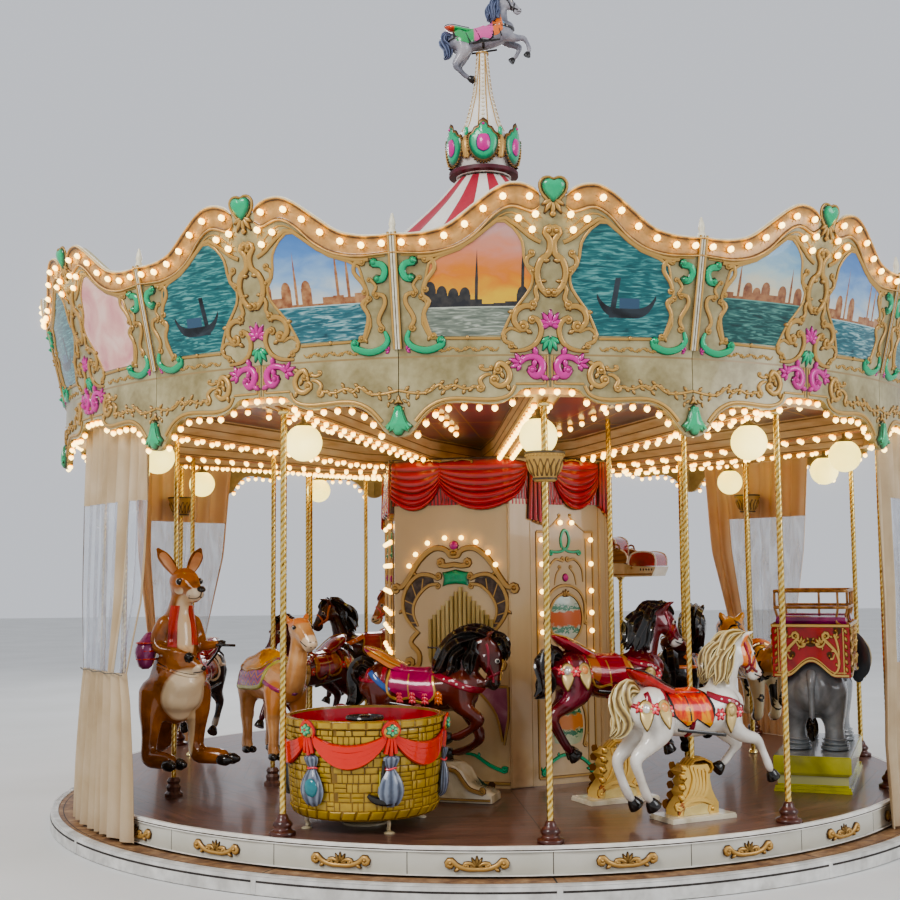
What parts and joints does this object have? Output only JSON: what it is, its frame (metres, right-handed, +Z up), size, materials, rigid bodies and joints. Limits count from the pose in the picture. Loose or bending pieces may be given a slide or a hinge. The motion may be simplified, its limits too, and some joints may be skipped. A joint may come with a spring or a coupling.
{
  "type": "fairground carousel",
  "caption": "Round turning carousel with outer poles, rounding boards, striped tent roof and crown, centre drum and riding figures, on a fixed step ring.",
  "frame": {"origin": "centre of the footprint on the ground, on the turning axis", "axes": "+Z up; -Y towards the front pole; the ride turns from +X towards +Y"},
  "size_m": [6.418, 6.418, 6.0633],
  "materials": {
    "step_edge": "ribbed white edge with worn brown boards",
    "mast_steel": "satin",
    "deck_wood": "gloss varnish",
    "ivory_paint": "semi-gloss",
    "drum_cream": "gloss",
    "red_drape": "gloss",
    "beam_cream": "semi-gloss",
    "ceiling_plum": "semi-gloss paint",
    "twisted_brass": "polished",
    "board_cream": "semi-gloss",
    "striped_canvas": "matte",
    "crown_white": "semi-gloss",
    "finial_paint": "gloss",
    "curtain_cloth": "matte",
    "kangaroo_paint": "gloss",
    "camel_paint": "gloss",
    "white_horse_paint": "gloss",
    "maroon_horse_paint": "gloss",
    "carved_gold": "gilt",
    "basket_yellow": "gloss",
    "brown_horse_paint": "gloss",
    "plinth_lime": "gloss",
    "elephant_grey": "gloss",
    "black_horse_paint": "gloss",
    "tiger_paint": "gloss",
    "dark_horse_paint": "gloss",
    "tan_horse_paint": "gloss",
    "wine_horse_paint": "gloss",
    "donkey_grey": "gloss",
    "gondola_red": "gloss"
  },
  "bodies": {
    "ground": {"ground_step": "step_edge", "centre_mast": "mast_steel"},
    "ride": {"deck": "deck_wood", "deck_skirt": "ivory_paint", "drum_walls": "drum_cream", "drum_drape": "red_drape", "canopy_frame": "beam_cream", "canopy_rim": "beam_cream", "ceiling": "ceiling_plum", "outer_pole_1": "twisted_brass", "outer_pole_2": "twisted_brass", "outer_pole_3": "twisted_brass", "outer_pole_4": "twisted_brass", "outer_pole_5": "twisted_brass", "outer_pole_6": "twisted_brass", "outer_pole_7": "twisted_brass", "outer_pole_8": "twisted_brass", "outer_pole_9": "twisted_brass", "outer_pole_10": "twisted_brass", "outer_pole_11": "twisted_brass", "outer_pole_12": "twisted_brass", "rounding_board_1": "board_cream", "rounding_board_2": "board_cream", "rounding_board_3": "board_cream", "rounding_board_4": "board_cream", "rounding_board_5": "board_cream", "rounding_board_6": "board_cream", "rounding_board_7": "board_cream", "rounding_board_8": "board_cream", "rounding_board_9": "board_cream", "rounding_board_10": "board_cream", "rounding_board_11": "board_cream", "rounding_board_12": "board_cream", "roof_tent": "striped_canvas", "crown_spire": "crown_white", "finial_horse": "finial_paint", "curtain_front_left": "curtain_cloth", "curtain_front_right": "curtain_cloth", "curtain_rear_left": "curtain_cloth", "curtain_rear_right": "curtain_cloth", "white_horse_pedestal": "carved_gold", "maroon_horse_pedestal": "carved_gold", "brown_horse": "brown_horse_paint", "elephant_plinth": "plinth_lime", "elephant": "elephant_grey", "black_horse": "black_horse_paint", "tiger": "tiger_paint", "dark_horse": "dark_horse_paint", "tan_horse": "tan_horse_paint", "wine_horse": "wine_horse_paint", "donkey": "donkey_grey", "gondola": "gondola_red"},
    "kangaroo_lift": {"kangaroo": "kangaroo_paint"},
    "camel_lift": {"camel": "camel_paint"},
    "white_horse_lift": {"white_horse": "white_horse_paint", "white_horse_pole": "twisted_brass"},
    "maroon_horse_lift": {"maroon_horse": "maroon_horse_paint", "maroon_horse_pole": "twisted_brass"},
    "basket": {"balloon_basket": "basket_yellow"}
  },
  "joints": [
    {"name": "carousel_turn", "type": "hinge", "parent": "ground", "child": "ride", "pos_m": [0, 0, 0.254], "axis": [0, 0, 1], "continuous": true},
    {"name": "kangaroo_slide", "type": "slide", "parent": "ride", "child": "kangaroo_lift", "axis": [0, 0, 1], "range_m": [-0.14, 0.05]},
    {"name": "camel_slide", "type": "slide", "parent": "ride", "child": "camel_lift", "axis": [0, 0, 1], "range_m": [-0.14, 0.05]},
    {"name": "white_horse_slide", "type": "slide", "parent": "ride", "child": "white_horse_lift", "axis": [0, 0, 1], "range_m": [-0.01, 0.19]},
    {"name": "maroon_horse_slide", "type": "slide", "parent": "ride", "child": "maroon_horse_lift", "axis": [0, 0, 1], "range_m": [-0.18, 0.02]},
    {"name": "basket_spin", "type": "hinge", "parent": "ride", "child": "basket", "pos_m": [-0.9436, -2.1194, 0.254], "axis": [0, 0, 1], "continuous": true}
  ]
}
